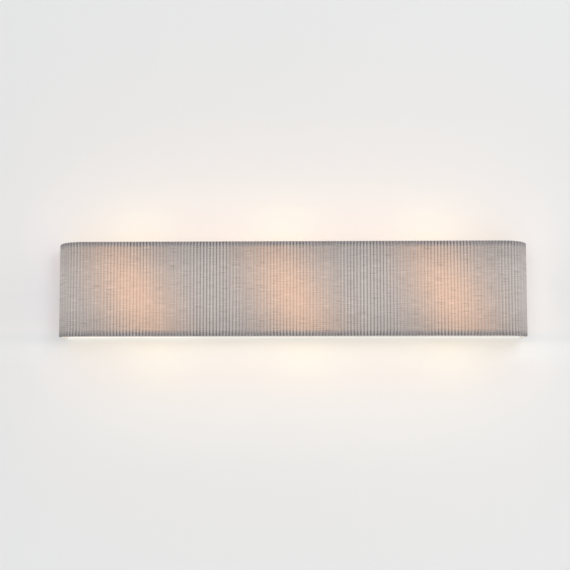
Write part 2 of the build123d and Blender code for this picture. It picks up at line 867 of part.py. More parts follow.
for bay in lamp_bays:
    frame = lamp_frame(bay)
    save(f"bracket_{bay}", frame * bracket())
    save(f"holder_body_{bay}", frame * holder_body())
    save(f"holder_core_{bay}", frame * holder_core())
    save(f"screw_shell_{bay}", frame * screw_shell())
    save(f"centre_contact_{bay}", frame * centre_contact())
    save(f"bulb_glass_{bay}", frame * bulb_glass())
    save(f"bulb_cap_{bay}", frame * bulb_cap())
    save(f"bulb_tip_{bay}", frame * bulb_tip())
    save(f"filament_{bay}", frame * filament())
    save(f"lead_{bay}", lead(bay))
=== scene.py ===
import json
from math import cos, pi, radians, sin

import bmesh
import bpy
from mathutils import Matrix, Vector

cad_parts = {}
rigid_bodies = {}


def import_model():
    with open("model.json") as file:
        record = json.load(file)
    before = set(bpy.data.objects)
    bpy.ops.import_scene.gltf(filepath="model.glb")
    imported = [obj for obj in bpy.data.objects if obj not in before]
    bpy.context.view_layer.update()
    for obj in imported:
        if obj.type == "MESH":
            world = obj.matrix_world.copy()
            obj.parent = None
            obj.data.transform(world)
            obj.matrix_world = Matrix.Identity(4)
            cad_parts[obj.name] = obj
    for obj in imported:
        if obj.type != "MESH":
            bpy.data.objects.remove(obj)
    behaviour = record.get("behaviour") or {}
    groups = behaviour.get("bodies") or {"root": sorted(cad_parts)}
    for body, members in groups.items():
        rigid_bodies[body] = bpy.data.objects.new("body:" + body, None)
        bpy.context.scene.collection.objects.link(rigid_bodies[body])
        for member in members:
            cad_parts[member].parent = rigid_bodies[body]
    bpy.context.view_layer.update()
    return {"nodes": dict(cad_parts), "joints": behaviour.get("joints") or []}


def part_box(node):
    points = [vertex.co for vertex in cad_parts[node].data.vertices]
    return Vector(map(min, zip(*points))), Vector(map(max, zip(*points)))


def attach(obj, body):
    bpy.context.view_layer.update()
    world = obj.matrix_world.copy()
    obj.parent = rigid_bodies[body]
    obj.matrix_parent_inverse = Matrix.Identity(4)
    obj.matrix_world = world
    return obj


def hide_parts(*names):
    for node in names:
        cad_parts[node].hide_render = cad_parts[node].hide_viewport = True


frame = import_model()
mm = 0.001
joints = {joint["name"]: joint for joint in frame["joints"]}
bays = ("left", "middle", "right")
lampPlaces = [joints[f"{bay}_lamp_turn"]["pos_m"][0] for bay in bays]  # across the light, in metres
print("frame loaded:", len(frame["nodes"]), "nodes")


# node trees: a Link is one socket, and arithmetic on it adds Math nodes to its Graph

def operator(operation, turned=False):
    def apply(self, other):
        return self.math(operation, *((other, self) if turned else (self, other)))

    return apply


class Link:
    def __init__(self, graph, socket):
        self.graph, self.socket = graph, socket

    def out(self, name):
        return Link(self.graph, self.socket.node.outputs[name])

    def math(self, operation, *values):
        return self.graph.add("ShaderNodeMath", {"operation": operation}, dict(enumerate(values)))

    __add__, __radd__ = operator("ADD"), operator("ADD", True)
    __sub__, __rsub__ = operator("SUBTRACT"), operator("SUBTRACT", True)
    __mul__, __rmul__ = operator("MULTIPLY"), operator("MULTIPLY", True)
    __truediv__, __pow__ = operator("DIVIDE"), operator("POWER")
    __lt__, atMost, atLeast = operator("LESS_THAN"), operator("MINIMUM"), operator("MAXIMUM")

    def sine(self):
        return self.math("SINE", self)

    def size(self):
        return self.math("ABSOLUTE", self)

    def falling(self):
        # e to the power of minus this value
        return self.math("EXPONENT", self * -1.0)

    def bell(self, middle, width):
        # 1 at the middle, falling softly to 0
        off = (self - middle) / width
        return (off * off).falling()


class Graph:
    def __init__(self, tree, material=None):
        self.tree, self.material = tree, material
        tree.nodes.clear()

    def add(self, kind, settings=None, values=None, output=0):
        node = self.tree.nodes.new(kind)
        for key, value in (settings or {}).items():
            if key == "stops":
                stops = node.color_ramp.elements
                while len(stops) < len(value):
                    stops.new(1.0)
                for stop, (place, colour) in zip(stops, value):
                    stop.position, stop.color = place, colour
            else:
                setattr(node, key, value)
        for key, value in (values or {}).items():
            if isinstance(value, Link):
                self.tree.links.new(value.socket, node.inputs[key])
            else:
                node.inputs[key].default_value = value
        return Link(self, node.outputs[output] if len(node.outputs) else None)

    def vector(self, operation, *values, output=0):
        return self.add("ShaderNodeVectorMath", {"operation": operation}, dict(enumerate(values)), output)

    def scaled(self, vector, factor):
        return self.add("ShaderNodeVectorMath", {"operation": "SCALE"}, {0: vector, "Scale": factor})

    def join(self, x, y, z):
        return self.add("ShaderNodeCombineXYZ", None, {0: x, 1: y, 2: z})

    def split(self, vector):
        parts = self.add("ShaderNodeSeparateXYZ", None, {0: vector})
        return parts, parts.out("Y"), parts.out("Z")

    def store(self, geometry, name, value):
        # a value on each point, for the material
        return self.add("GeometryNodeStoreNamedAttribute", {"data_type": "FLOAT", "domain": "POINT"}, {
            "Geometry": geometry, "Name": name, "Value": value,
        })

    # the rest is for materials

    def place(self):
        return self.add("ShaderNodeTexCoord", output="Object")

    def attribute(self, name):
        return self.add("ShaderNodeAttribute", {"attribute_name": name}, output="Fac")

    def noise(self, vector, scale, detail=3.0, roughness=0.55):
        values = {"Vector": vector, "Scale": scale, "Detail": detail, "Roughness": roughness}
        return self.add("ShaderNodeTexNoise", None, values)

    def grain(self, scale, detail=3.0, roughness=0.55):
        return self.noise(self.place(), scale, detail, roughness)

    def ramp(self, value, low, high):
        settings = {"stops": [(low, (0, 0, 0, 1)), (high, (1, 1, 1, 1))]}
        return self.add("ShaderNodeValToRGB", settings, {0: value})

    def mix(self, factor, first, second, blend="MIX"):
        settings = {"data_type": "RGBA", "blend_type": blend}
        return self.add("ShaderNodeMix", settings, {0: factor, 6: first, 7: second}, output=2)

    def tinted(self, factor, first, second):
        return self.mix(factor, first, second, "MULTIPLY")

    def bump(self, height, strength, distance):
        values = {"Height": height, "Strength": strength, "Distance": distance}
        return self.add("ShaderNodeBump", None, values)

    def principled(self, **sockets):
        values = {name.replace("_", " "): value for name, value in sockets.items()}
        if "Emission Color" in values:
            values.setdefault("Emission Strength", 1.0)
        return self.add("ShaderNodeBsdfPrincipled", None, values)

    def finished(self, shader):
        self.add("ShaderNodeOutputMaterial", None, {"Surface": shader})
        return self.material

    def surface(self, **sockets):
        return self.finished(self.principled(**sockets))


def newMaterial(name):
    material = bpy.data.materials.new(name)
    material.use_nodes = True
    return Graph(material.node_tree, material)


def colour(red, green, blue):
    # an sRGB colour, 0 to 255, as the linear colour of a socket
    steps = [value / 255 for value in (red, green, blue)]
    return *[v / 12.92 if v <= 0.04045 else ((v + 0.055) / 1.055) ** 2.4 for v in steps], 1.0


def tone(base, share=1.0):
    # a linear colour of three channels, darkened to a share, for a socket
    return *[channel * share for channel in base], 1


# objects and meshes

def linked(name, data):
    holder = bpy.data.objects.new(name, data)
    bpy.context.scene.collection.objects.link(holder)
    return holder


def painted(mesh, *materials):
    mesh.materials.clear()
    for material in materials:
        mesh.materials.append(material)
    return mesh


def addPiece(name, mesh, materials, body, replaced):
    piece = linked(name, painted(mesh, *materials))
    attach(piece, body)
    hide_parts(*replaced)
    return piece


def meshFrom(name, shape, matrix=None, sharp=35):
    # a finished mesh from a bmesh: merged, facing outwards, smooth but for its sharp edges
    bmesh.ops.remove_doubles(shape, verts=shape.verts, dist=1e-6)
    bmesh.ops.recalc_face_normals(shape, faces=shape.faces)
    if matrix:
        bmesh.ops.transform(shape, matrix=matrix, verts=shape.verts)
    for face in shape.faces:
        face.smooth = True
    for edge in shape.edges:
        if len(edge.link_faces) == 2 and edge.calc_face_angle() > radians(sharp):
            edge.smooth = False
    mesh = bpy.data.meshes.new(name)
    shape.to_mesh(mesh)
    shape.free()
    return mesh


def lathe(profile, segments=64, ripple=None):
    # a solid of revolution about X from a closed outline of (along, radius) points in mm;
    # ripple gives what is added to the radius at (along, turn, number of the point)
    shape = bmesh.new()
    rings = []
    for number, (along, radius) in enumerate(profile):
        if radius <= 0:
            rings.append([shape.verts.new((along * mm, 0, 0))] * segments)
            continue
        ring = []
        for step in range(segments):
            turn = 2 * pi * step / segments
            reach = radius + (ripple(along, turn, number) if ripple else 0)
            ring.append(shape.verts.new((along * mm, reach * mm * cos(turn), reach * mm * sin(turn))))
        rings.append(ring)
    for first, second in zip(rings, rings[1:] + rings[:1]):
        for step in range(segments):
            after = (step + 1) % segments
            corners = []
            for vert in (first[step], first[after], second[after], second[step]):
                if vert not in corners:
                    corners.append(vert)
            if len(corners) > 2:
                shape.faces.new(corners)
    return shape


def lofted(rings):
    # a closed solid from rings of points in mm, each joined to the next
    shape = bmesh.new()
    rings = [[shape.verts.new((x * mm, y * mm, z * mm)) for x, y, z in ring] for ring in rings]
    for first, second in zip(rings, rings[1:]):
        for step in range(len(first)):
            after = (step + 1) % len(first)
            shape.faces.new((first[step], first[after], second[after], second[step]))
    shape.faces.new(rings[0])
    shape.faces.new(rings[-1][::-1])
    return shape


def merged(name, meshes):
    # several meshes as one, in place of them
    whole = bmesh.new()
    for mesh in meshes:
        whole.from_mesh(mesh)
        bpy.data.meshes.remove(mesh)
    mesh = bpy.data.meshes.new(name)
    whole.to_mesh(mesh)
    whole.free()
    return mesh


def steps(start, end, count):
    return [start + (end - start) * number / count for number in range(count + 1)]


def frontFacing(x=0.0):
    # the frame of a piece turned about Z: its own X points from the wall to the front
    return Matrix(((0, 1, 0, x), (-1, 0, 0, 0), (0, 0, 1, 0), (0, 0, 0, 1)))


def applied(source, name):
    # the evaluated shape of an object with live modifiers, as a plain mesh
    shown = source.evaluated_get(bpy.context.evaluated_depsgraph_get())
    mesh = bpy.data.meshes.new_from_object(shown)
    mesh.name = name
    return mesh


def newCurve(name, points, shares=None):
    # a chain of straight runs; shares are kept as the radii of its points
    line = bpy.data.curves.new(name, "CURVE")
    line.dimensions = "3D"
    spline = line.splines.new("POLY")
    spline.points.add(len(points) - 1)
    for point, place, share in zip(spline.points, points, shares or [1.0] * len(points)):
        point.co, point.radius = (*place, 1), share
    return linked(name, line)


def newTree(name, inputs):
    # a Geometry Nodes tree with named inputs; gives its graph, its inputs and their identifiers
    tree = bpy.data.node_groups.new(name, "GeometryNodeTree")

    def socket(label, kind, side="INPUT"):
        return tree.interface.new_socket(label, in_out=side, socket_type="NodeSocket" + kind).identifier

    names = {label: socket(label, kind) for label, kind in {"Geometry": "Geometry", **inputs}.items()}
    socket("Geometry", "Geometry", "OUTPUT")
    graph = Graph(tree)
    return graph, graph.add("NodeGroupInput"), names


def endTree(graph, geometry, material):
    whole = graph.add("GeometryNodeRealizeInstances", None, {"Geometry": geometry})
    coated = graph.add("GeometryNodeSetMaterial", None, {"Geometry": whole, "Material": material})
    graph.add("NodeGroupOutput", None, {0: coated})


def useTree(holder, graph, names, values):
    nodes = holder.modifiers.new(graph.tree.name, "NODES")
    nodes.node_group = graph.tree
    for label, value in values.items():
        nodes[names[label]] = value


def discard(*holders):
    for holder in holders:
        bpy.data.batch_remove([holder, holder.data])


# camera, light and stage

camera = {
    "place": (0.0473, -2.4619, -0.2156),
    "turn": (95.36, 0.017, 1.456),
    "lens": 79.4,
}
view = bpy.data.cameras.new("camera")
view.lens = camera["lens"]
view.sensor_width = 36.0
viewer = linked("camera", view)
viewer.location = camera["place"]
viewer.rotation_euler = [radians(angle) for angle in camera["turn"]]
bpy.context.scene.camera = viewer
bpy.context.scene.view_settings.view_transform = "Standard"

studio = {
    "sky": 0.86,
    "keyPlace": (1.1, -2.6, 0.9),
    "keySize": 1.1,
    "keyPower": 9.0,
    "wallGap": 0.0006,  # behind the back plate
    "openWithin": 0.02,  # light from nearer than this passes the wall, for the hollow back of the plate
    "floorHeight": -1.2,
}


def bands(value, entries):
    # soft bands, each with its middle, its width and its strength
    return sum(value.bell(middle, width) * strength for middle, width, strength in entries)


# light of the lamps on the wall, in metres: where each band of it is, how wide and how strong
wallLight = {
    "halfWidth": 0.50,
    "shift": (0.004, 0.015),  # how far the light above is off the middle, and the light below more
    "halo": [(0.10, 0.09, 0.060), (0.10, 0.26, 0.108)],  # above and below
    "haloColour": (0.84, 0.36, 0.03),
    "veil": [(0.12, 0.12, 0.058)],
    "below": [(-0.110, 0.03, 0.10), (-0.25, 0.09, 0.026)],
    "belowLessRed": 0.4,
    "low": [(-0.6, 0.35, 0.03)],
    "cool": [(0.13, 0.05, 0.016)],
    "shadow": [(-0.088, 0.013, 1.0)],  # close under the plate
    "ends": [(0.48, 0.035, 0.09), (-0.48, 0.035, 0.03)],  # across, beside the shade
    "coolEnd": [(-0.49, 0.04, 0.03)],
    "endsHeight": 0.11,
    "patch": (0.065, 0.13, 0.05),  # width, height and spread of each lamp's patch
    "patchColour": (0.045, 0.045, 0.012),
    "patchPlace": (0.93, 0.0445),  # share of the lamp's place, and shift of the lower patch
}


def wallMaterial():
    # matt paint, with the light that the lamps throw on it above and below the shade
    paint = newMaterial("wallPaint")
    x, y, z = paint.split(paint.place())
    grain = paint.grain(900.0)

    shift, shiftBelow = wallLight["shift"]
    ends = (((x + shift - (z < 0.0) * shiftBelow) / wallLight["halfWidth"]) ** 4.0).falling()
    width, height, spread = wallLight["patch"]
    share, patchShift = wallLight["patchPlace"]
    lumps = 0
    for lampX in lampPlaces:
        lumps = lumps + x.bell(lampX * share, width) * z.bell(height, spread)
        lumps = lumps + x.bell(lampX * share + patchShift, width) * z.bell(-height, spread)
    beside = z.bell(0.0, wallLight["endsHeight"])
    shadow = bands(z, wallLight["shadow"])
    halo = bands(z.size(), wallLight["halo"]) * ends * (1.0 - shadow * 0.5)
    lumps = lumps * (1.0 - shadow)
    below = bands(z, wallLight["below"])
    fill = (below + bands(z.size(), wallLight["veil"])) * ends * (1.0 - shadow * 0.6)
    fill = fill + bands(x, wallLight["ends"]) * beside + bands(z, wallLight["low"])
    # painted cool light near the shade and beside its left end
    cool = bands(z.size(), wallLight["cool"]) * ends * (1.0 - shadow)
    cool = cool + bands(x, wallLight["coolEnd"]) * beside
    colours = zip(wallLight["haloColour"], wallLight["patchColour"])
    red, green, blue = [halo * part + lumps * patchPart + fill for part, patchPart in colours]
    red, blue = red - below * ends * wallLight["belowLessRed"], blue + cool
    near = paint.add("ShaderNodeLightPath").out("Ray Length") < studio["openWithin"]
    back = paint.add("ShaderNodeNewGeometry", output="Backfacing").atLeast(near)
    shader = paint.principled(
        Base_Color=(0.868, 0.872, 0.876, 1), Roughness=0.9, Specular_IOR_Level=0.1,
        Emission_Color=paint.join(red, green, blue), Normal=paint.bump(grain, 0.05, 0.0005),
    )
    clear = paint.add("ShaderNodeBsdfTransparent")
    return paint.finished(paint.add("ShaderNodeMixShader", None, {0: back, 1: shader, 2: clear}))


def floorMaterial():
    paint = newMaterial("floorPaint")
    grain = paint.grain(400.0)
    rough = paint.bump(grain, 0.05, 0.001)
    return paint.surface(Base_Color=(0.86, 0.86, 0.855, 1), Roughness=0.8, Normal=rough)


def addStage():
    gap, floor = studio["wallGap"], studio["floorHeight"]
    sheets = (
        ("wall", [(-4, gap, floor), (4, gap, floor), (4, gap, 3), (-4, gap, 3)], wallMaterial()),
        ("floor", [(-4, -5, floor), (4, -5, floor), (4, 0, floor), (-4, 0, floor)], floorMaterial()),
    )
    for name, corners, material in sheets:
        mesh = bpy.data.meshes.new(name)
        mesh.from_pydata(corners, [], [(0, 1, 2, 3)])
        plane = linked(name, painted(mesh, material))
    world = bpy.data.worlds.new("studio")
    world.use_nodes = True
    bpy.context.scene.world = world
    sky = Graph(world.node_tree)
    path = sky.add("ShaderNodeLightPath")
    seen = path.atLeast(path.out("Is Glossy Ray")).atLeast(path.out("Is Transmission Ray"))
    strength = seen * (1.0 - studio["sky"]) + studio["sky"]
    even = sky.add("ShaderNodeBackground", None, {"Color": (1, 1, 1, 1), "Strength": strength})
    sky.add("ShaderNodeOutputWorld", None, {"Surface": even})
    key = bpy.data.lights.new("key", "AREA")
    key.shape = "DISK"
    key.size = studio["keySize"]
    key.energy = studio["keyPower"]
    light = linked("key", key)
    light.location = studio["keyPlace"]
    light.rotation_euler = (-Vector(studio["keyPlace"])).to_track_quat("-Z", "Y").to_euler()


addStage()
print("stage and camera made")


# the pleated shade, one sheet bonded to the liner and turned in over the rings

shade = {
    "pitch": 6.3,
    "rise": 3.0,
    "samples": 12,
    "cloth": 0.75,
    "edgeRadius": 0.8,  # where the sheet turns over at its edges
    "ribEnd": 2.6,  # height over which a rib closes at the edges
    "tape": 0.5,
    "tapeStart": 3.9,  # depths under the tops of the ribs
    "tapeEnd": 6.15,
    "tapeHeight": 8.6,
    "corner": 54.0,
    "wallGap": 1.0,
    "band": 9.0,  # height of the rings behind the fabric
    "unevenness": 0.10,
    "seed": 7,
}
fabricLow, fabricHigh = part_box("pleated_fabric")
halfWidth = fabricHigh.x / mm
halfHeight = fabricHigh.z / mm
shadeDepth = -fabricLow.y / mm


def grooveLine():
    # the U that the grooves of the pleats follow, in plan
    inset = shade["rise"]
    radius = shade["corner"] - inset
    half = halfWidth - inset
    front = shadeDepth - inset
    turns = steps(0, pi / 2, 40)
    corner = [(-(half - radius) - radius * cos(t), -(front - radius) - radius * sin(t)) for t in turns]
    left = [(-half, -shade["wallGap"])] + corner
    return [(x * mm, y * mm, 0) for x, y in left + [(-x, y) for x, y in reversed(left)]]


def clothSection():
    # (out, up, share of the rise) along the sheet, from the bottom edge to the top edge
    radius, end = shade["edgeRadius"], shade["ribEnd"]
    level = halfHeight - radius  # from which the sheet turns over
    turn = [(-radius * (1 - cos(t)), level + radius * sin(t), 0.0) for t in steps(0, pi / 2, 4)[1:]]
    close = [(0.0, halfHeight - end + end * sin(t), cos(t)) for t in steps(0, pi / 2, 5)]
    top = [point for point in close if point[1] < level] + [(0.0, level, 0.35)] + turn
    walls = [(0.0, z, 1.0) for z in steps(-(halfHeight - end - 3), halfHeight - end - 3, 7)]
    return [(out, -up, share) for out, up, share in reversed(top)] + walls + top


def tapeSection():
    # the tape over the top edge: its lip over the ring, its bend, and its strip inside the ring
    rise, radius, end = shade["rise"], 0.55, shade["tapeEnd"]
    turns = steps(0, pi / 2, 4)
    bend = [(rise - end + radius * (1 - sin(t)), halfHeight - radius * (1 - cos(t)), 0.0) for t in turns]
    foot = [(rise - end, halfHeight - z, 0.0) for z in (3.0, 5.8, shade["tapeHeight"])]
    return [(rise - shade["tapeStart"], halfHeight, 0.0)] + bend + foot


def pleatTree():
    graph, given, names = newTree("pleatedSheet", {
        "Section": "Object",
        "Pleats": "Int",
        "Samples per pleat": "Int",
        "Rows": "Int",
        "Rise": "Float",
        "Unevenness": "Float",
        "Seed": "Int",
        "Material": "Material",
    })
    pleats, rows = given.out("Pleats"), given.out("Rows")
    grid = graph.add("GeometryNodeMeshGrid", None, {
        "Size X": 1.0,
        "Size Y": 1.0,
        "Vertices X": pleats * given.out("Samples per pleat") + 1.0,
        "Vertices Y": rows + 1.0,
    })
    gridX, gridY, gridZ = graph.split(graph.add("GeometryNodeInputPosition"))
    phase = (gridX + 0.5) * pleats
    whole = (phase + 0.001).math("FLOOR", phase + 0.001)
    part = (phase - whole).atLeast(0.0)
    row = ((gridY + 0.5) * rows).math("ROUND", (gridY + 0.5) * rows)
    ends = (phase / pleats * (1.0 - phase / pleats) * 60.0).atMost(1.0)
    sway = graph.add("ShaderNodeTexNoise", {"noise_dimensions": "2D"}, {
        "Vector": graph.join(phase * 0.23 + given.out("Seed") * 13.7, gridY * 2.2, 0.0),
        "Scale": 1.0,
        "Detail": 2.0,
    })
    chance = graph.add("FunctionNodeRandomValue", {"data_type": "FLOAT"}, {
        "Min": 0.0, "Max": 1.0, "ID": whole, "Seed": given.out("Seed"),
    })
    for output in chance.socket.node.outputs:  # the node has one output for each kind of value
        if output.enabled:
            chance = Link(graph, output)
    # round ribs: even steps round each half circle, with the grooves on vertices
    stepped = whole + 0.5 - (part * pi).math("COSINE", part * pi) * 0.5
    along = (stepped + (sway - 0.5) * given.out("Unevenness") * ends * 4.0) / pleats
    path = graph.add("GeometryNodeSampleCurve", {"mode": "FACTOR"}, {"Curves": given, "Factor": along})
    outward = graph.vector("NORMALIZE", graph.vector("CROSS_PRODUCT", path.out("Tangent"), (0, 0, 1)))
    section = graph.add("GeometryNodeObjectInfo", None, {"Object": given.out("Section")}, "Geometry")

    def atRow(field):
        settings = {"data_type": "FLOAT_VECTOR", "domain": "POINT"}
        values = {"Geometry": section, "Value": field, "Index": row}
        return graph.add("GeometryNodeSampleIndex", settings, values)

    sectionX, sectionY, sectionZ = graph.split(atRow(graph.add("GeometryNodeInputPosition")))
    share = graph.split(atRow(graph.add("GeometryNodeInputRadius")))[0]
    ribs = (part * pi).sine().atLeast(0.0)
    lift = ribs * share * given.out("Rise") * (1.0 - chance * given.out("Unevenness"))
    place = graph.vector("ADD", path.out("Position"), graph.scaled(outward, sectionX + lift))
    place = graph.vector("ADD", place, graph.join(0.0, 0.0, sectionZ))
    moved = graph.add("GeometryNodeSetPosition", None, {"Geometry": grid, "Position": place})
    for label, field in (("ribHeight", ribs), ("alongShade", along), ("ribNumber", chance)):
        moved = graph.store(moved, label, field)
    smooth = graph.add("GeometryNodeSetShadeSmooth", None, {"Geometry": moved})
    endTree(graph, smooth, given.out("Material"))
    return graph, names


# the patch that each lamp throws on a layer, in metres
glowing = {
    "cloth": (0.057, 0.092),  # half width and half height on each layer
    "plate": (0.075, 0.10),
    "liner": (0.075, 0.11),
    "place": (0.96, 0.0102),  # share of the lamp's place, and shift
    "level": -0.012,
    "slant": 0.33,
    "slantLevel": 0.008,
}


def lampGlow(paint, x, z, layer):
    # soft slanted patches where the lamps shine through, 0 to 1
    (width, height), (share, shift) = glowing[layer], glowing["place"]
    up = (z - glowing["level"]) / height
    lean = (z - glowing["slantLevel"]) * glowing["slant"]
    glow = 0
    for lampX in lampPlaces:
        across = (x - (lampX * share + shift) + lean) / width
        glow = glow + ((across * across + up * up) * 0.5).falling()
    return glow


clothLook = {
    "weaveStep": 0.0009,  # between the threads, in metres
    "merged": 0.6,  # share by which the painted shade in the grooves is eased on the corners
    "mergedAcross": (0.446, 0.013),  # where it is eased, and how widely
    "mergedDeep": (-0.070, 0.018),
    "rim": (1.35, 0.45),  # where the cool band of painted shade over a ring behind the cloth starts and ends, in heights of the ring
    "warm": (0.305, 0.138, 0.058),  # lamp light through the grooves
    "warmRidge": (0.235, 0.08, 0.01),
}


def clothMaterial():
    # grey slubbed cloth: ribs with painted shade in their grooves, a cool band of painted shade over each
    # ring behind it, and the lamps' glow
    paint = newMaterial("greyPleatedCloth")
    place = paint.place()
    x, y, z = paint.split(place)
    along = paint.attribute("alongShade") * (lineLength * mm)  # in metres
    rib = paint.attribute("ribHeight")
    oddRib = paint.attribute("ribNumber")

    def woven(across, up, lane, detail=2.0, roughness=0.5):
        return paint.noise(paint.join(along * across, z * up, lane), 1.0, detail, roughness)

    slub, longSlub = woven(75.0, 620.0, 0.0), woven(28.0, 480.0, 3.0)
    thread, cloud = woven(1500.0, 90.0, 5.0), woven(6.0, 6.0, 0.0, 3.0)
    weft = paint.ramp(slub, 0.42, 0.62) * 0.5 + paint.ramp(longSlub, 0.45, 0.66) * 0.5
    # the grooves are painted darker than the ridges, as painted shade between the ribs
    ridge = paint.mix(weft, colour(209, 201, 197), colour(217, 210, 206))
    shadedGroove = paint.mix(weft, colour(190, 183, 181), colour(200, 193, 190))
    # on the corners the painted shade of the grooves is eased
    turned = x.size().bell(*clothLook["mergedAcross"]) * y.bell(*clothLook["mergedDeep"])
    turned = turned * clothLook["merged"]
    height = paint.ramp(rib * 0.92 + oddRib * 0.10, 0.42, 0.86)
    height = height * (1.0 - turned) + turned * 0.4
    plain = paint.mix(height, shadedGroove, ridge)
    slubs = woven(40.0, 560.0, 9.0, 1.0, 0.4)
    slubs = paint.ramp(slubs, 0.62, 0.68) * 0.15 - paint.ramp(1.0 - slubs, 0.62, 0.68) * 0.20 + 1.0
    plain = paint.scaled(plain, slubs)
    plain = paint.tinted(0.35, plain, paint.mix(thread, (0.8, 0.79, 0.78, 1), (1, 1, 1, 1)))
    plain = paint.tinted(0.5, plain, paint.mix(cloud, (0.93, 0.93, 0.94, 1), (1, 0.99, 0.98, 1)))
    edge, band = z.size() / mm / halfHeight, shade["band"] / halfHeight
    # painted shade: a cool, darker band where the rings behind the cloth keep the lamps' light off, darkest
    # in the grooves
    rim = paint.ramp(edge, *[1 - reach * band for reach in clothLook["rim"]])
    ringShadeTint = paint.mix(height, (0.53, 0.54, 0.565, 1), (0.79, 0.805, 0.84, 1))
    # painted shade: the cloth a little darker towards its top and bottom
    plain = paint.scaled(plain, 1.0 - paint.ramp(edge, 0.38, 0.76) * 0.12)
    cool = paint.mix(rim, plain, paint.tinted(1.0, plain, ringShadeTint))
    glow = lampGlow(paint, x, z, "cloth")
    front = paint.ramp((y * -1.0) / mm / shadeDepth, 0.60, 0.95)
    glow = (glow * (1.0 - rim * 0.9) * front).atMost(1.0)
    lit = paint.mix(glow, cool, paint.tinted(1.0, cool, (1.0, 0.96, 0.90, 1)))
    grooveLight = paint.scaled(clothLook["warm"], glow)
    through = paint.mix(height, grooveLight, tone(clothLook["warmRidge"]))
    through = paint.mix(weft, paint.tinted(1.0, through, (0.91, 0.91, 0.91, 1)), through)
    light = paint.mix(glow, (0, 0, 0, 1), paint.scaled(through, slubs))
    step = clothLook["weaveStep"]
    weave = (along / step * pi).sine() * (z / step * pi).sine()
    normal = paint.bump(weft * 0.6 + weave * 0.15 + thread * 0.3, 0.35, 0.0003)
    return paint.surface(
        Base_Color=lit, Roughness=0.92, Specular_IOR_Level=0.2, Sheen_Weight=0.15, Sheen_Roughness=0.5,
        Emission_Color=light, Normal=normal,
    )


def tapeMaterial():
    # white woven edging tape, a little warm where the lamps light it
    paint = newMaterial("whiteEdgingTape")
    x, y, z = paint.split(paint.place())
    along = paint.attribute("alongShade") * (lineLength * mm)
    twill = ((along + z) / 0.0008 * pi).sine().size()
    soil = paint.grain(40.0, 3.0)
    tint = paint.mix(paint.ramp(soil, 0.3, 0.8), (0.86, 0.85, 0.82, 1), (0.78, 0.76, 0.72, 1))
    tint = paint.tinted(0.25, tint, paint.mix(twill, (0.7, 0.7, 0.7, 1), (1, 1, 1, 1)))
    return paint.surface(
        Base_Color=tint, Roughness=0.85, Sheen_Weight=0.1, Emission_Color=(0.16, 0.13, 0.09, 1),
        Normal=paint.bump(twill, 0.3, 0.0002),
    )


shadeLine = grooveLine()
lineLength = sum((Vector(b) - Vector(a)).length for a, b in zip(shadeLine, shadeLine[1:])) / mm
pleatCount = round(lineLength / shade["pitch"])


def addShade():
    graph, names = pleatTree()
    cloth, tape = clothMaterial(), tapeMaterial()
    over = tapeSection()
    under = [(out, -up, share) for out, up, share in reversed(over)]
    made = {}
    for name, node, points, sheet, slot in (
        ("pleatedShade", "pleated_fabric", clothSection(), cloth, "shade_fabric"),
        ("topTape", "top_hem", over, tape, "hem_tape"),
        ("bottomTape", "bottom_hem", under, tape, "hem_tape"),
    ):
        places = [(out * mm, 0, up * mm) for out, up, share in points]
        section = newCurve(name + "Section", places, [share for out, up, share in points])
        holder = newCurve(name + "Path", shadeLine)
        useTree(holder, graph, names, {
            "Section": section,
            "Pleats": pleatCount,
            "Samples per pleat": shade["samples"] if sheet is cloth else 3,
            "Rows": len(points) - 1,
            "Rise": shade["rise"] * mm,
            "Unevenness": shade["unevenness"],
            "Seed": shade["seed"],
            "Material": sheet,
        })
        thick = holder.modifiers.new("thickness", "SOLIDIFY")
        thick.thickness = (shade["cloth"] if sheet is cloth else shade["tape"]) * mm
        thick.offset = -1.0
        mesh = applied(holder, name)
        discard(holder, section)
        made[name] = addPiece(name, mesh, [sheet], "shade", [node])
        low = min(v.co.z for v in mesh.vertices) / mm
        print(name, len(mesh.polygons), "faces,", pleatCount, "pleats, lowest", round(low, 2))
    return made


clothPieces = addShade()


# finishes

def metal(name, base, roughness, streak=(400.0, 400.0, 400.0), wear=0.12):
    # bare or plated metal: streaks of the tool or the bath in colour and roughness
    paint = newMaterial(name)
    stretched = paint.vector("MULTIPLY", paint.place(), streak)
    streaks = paint.noise(stretched, 1.0, 4.0)
    clouds = paint.grain(120.0, 2.0)
    tint = paint.mix(paint.ramp(streaks * 0.6 + clouds * 0.4, 0.35, 0.65), tone(base, 1 - wear), tone(base))
    shine = roughness + (streaks - 0.5) * 0.18 + (clouds - 0.5) * 0.1
    return paint.surface(
        Base_Color=tint, Metallic=1.0, Roughness=shine.atLeast(0.08),
        Normal=paint.bump(streaks, 0.08, 0.0001),
    )


def moulded(name, base, roughness, grain=1800.0, coat=0.0):
    # moulded plastic, rubber or ceramic: a fine grain and a slow change of tone
    paint = newMaterial(name)
    fine = paint.grain(grain, 2.0)
    slow = paint.grain(60.0, 2.0)
    tint = paint.mix(paint.ramp(slow, 0.3, 0.7), tone(base, 0.9), tone(base))
    return paint.surface(
        Base_Color=tint, Roughness=roughness + (fine - 0.5) * 0.15, Coat_Weight=coat,
        Normal=paint.bump(fine, 0.12, 0.0002),
    )


coat = {
    "front": 7.7,  # depth in mm from which a face looks at the lamps
    "edge": 87.5,  # depth below the middle from which a face is the plate's lower edge
    "patches": [(-0.40, 0.12, 1.0), (-0.24, 0.06, 0.8), (0.36, 0.12, 0.35)],  # painted light, brighter in patches along that edge
}


